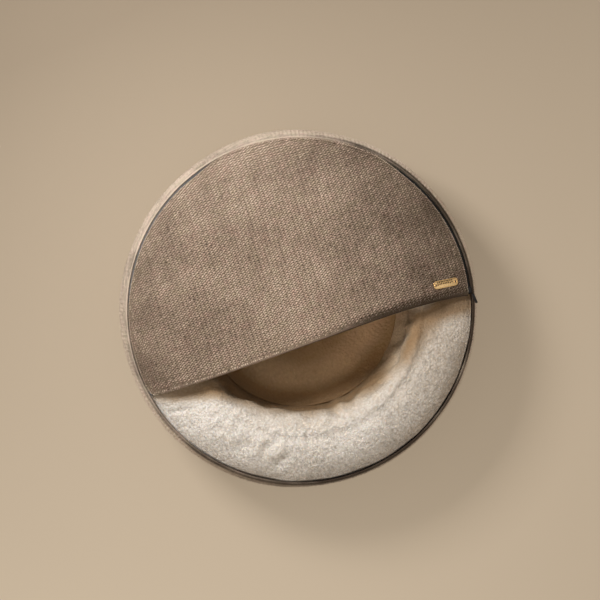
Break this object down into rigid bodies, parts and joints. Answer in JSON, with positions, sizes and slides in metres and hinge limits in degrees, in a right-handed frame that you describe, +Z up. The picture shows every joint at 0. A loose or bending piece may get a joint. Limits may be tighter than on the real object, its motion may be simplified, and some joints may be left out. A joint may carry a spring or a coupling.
{
  "type": "round pet bed with a zipped half cover",
  "caption": "Round soft pet bed: bulging shell, fleece bolster ring around a sunken base cushion, and a zipped domed cover over the back that leaves the front open.",
  "frame": {"origin": "middle of the base, on the floor", "axes": "+Z up, +X along the cover's hem towards the label, -Y towards the open front"},
  "size_m": [0.6003, 0.5975, 0.2107],
  "materials": {
    "tweed": "heathered brown and beige tweed with a raised rib weave and a dry, slightly fuzzy surface",
    "fleece": "cream plush fleece with a soft short pile",
    "zip": "black zip, satin",
    "brass": "polished pale gold"
  },
  "bodies": {
    "root": {"bottom_panel": "tweed", "side_wall": "tweed", "cover": "tweed", "bolster": "fleece", "base_cushion": "fleece", "zip": "zip", "zip_slider": "zip", "zip_pull": "zip", "label_plate": "brass"}
  },
  "joints": []
}
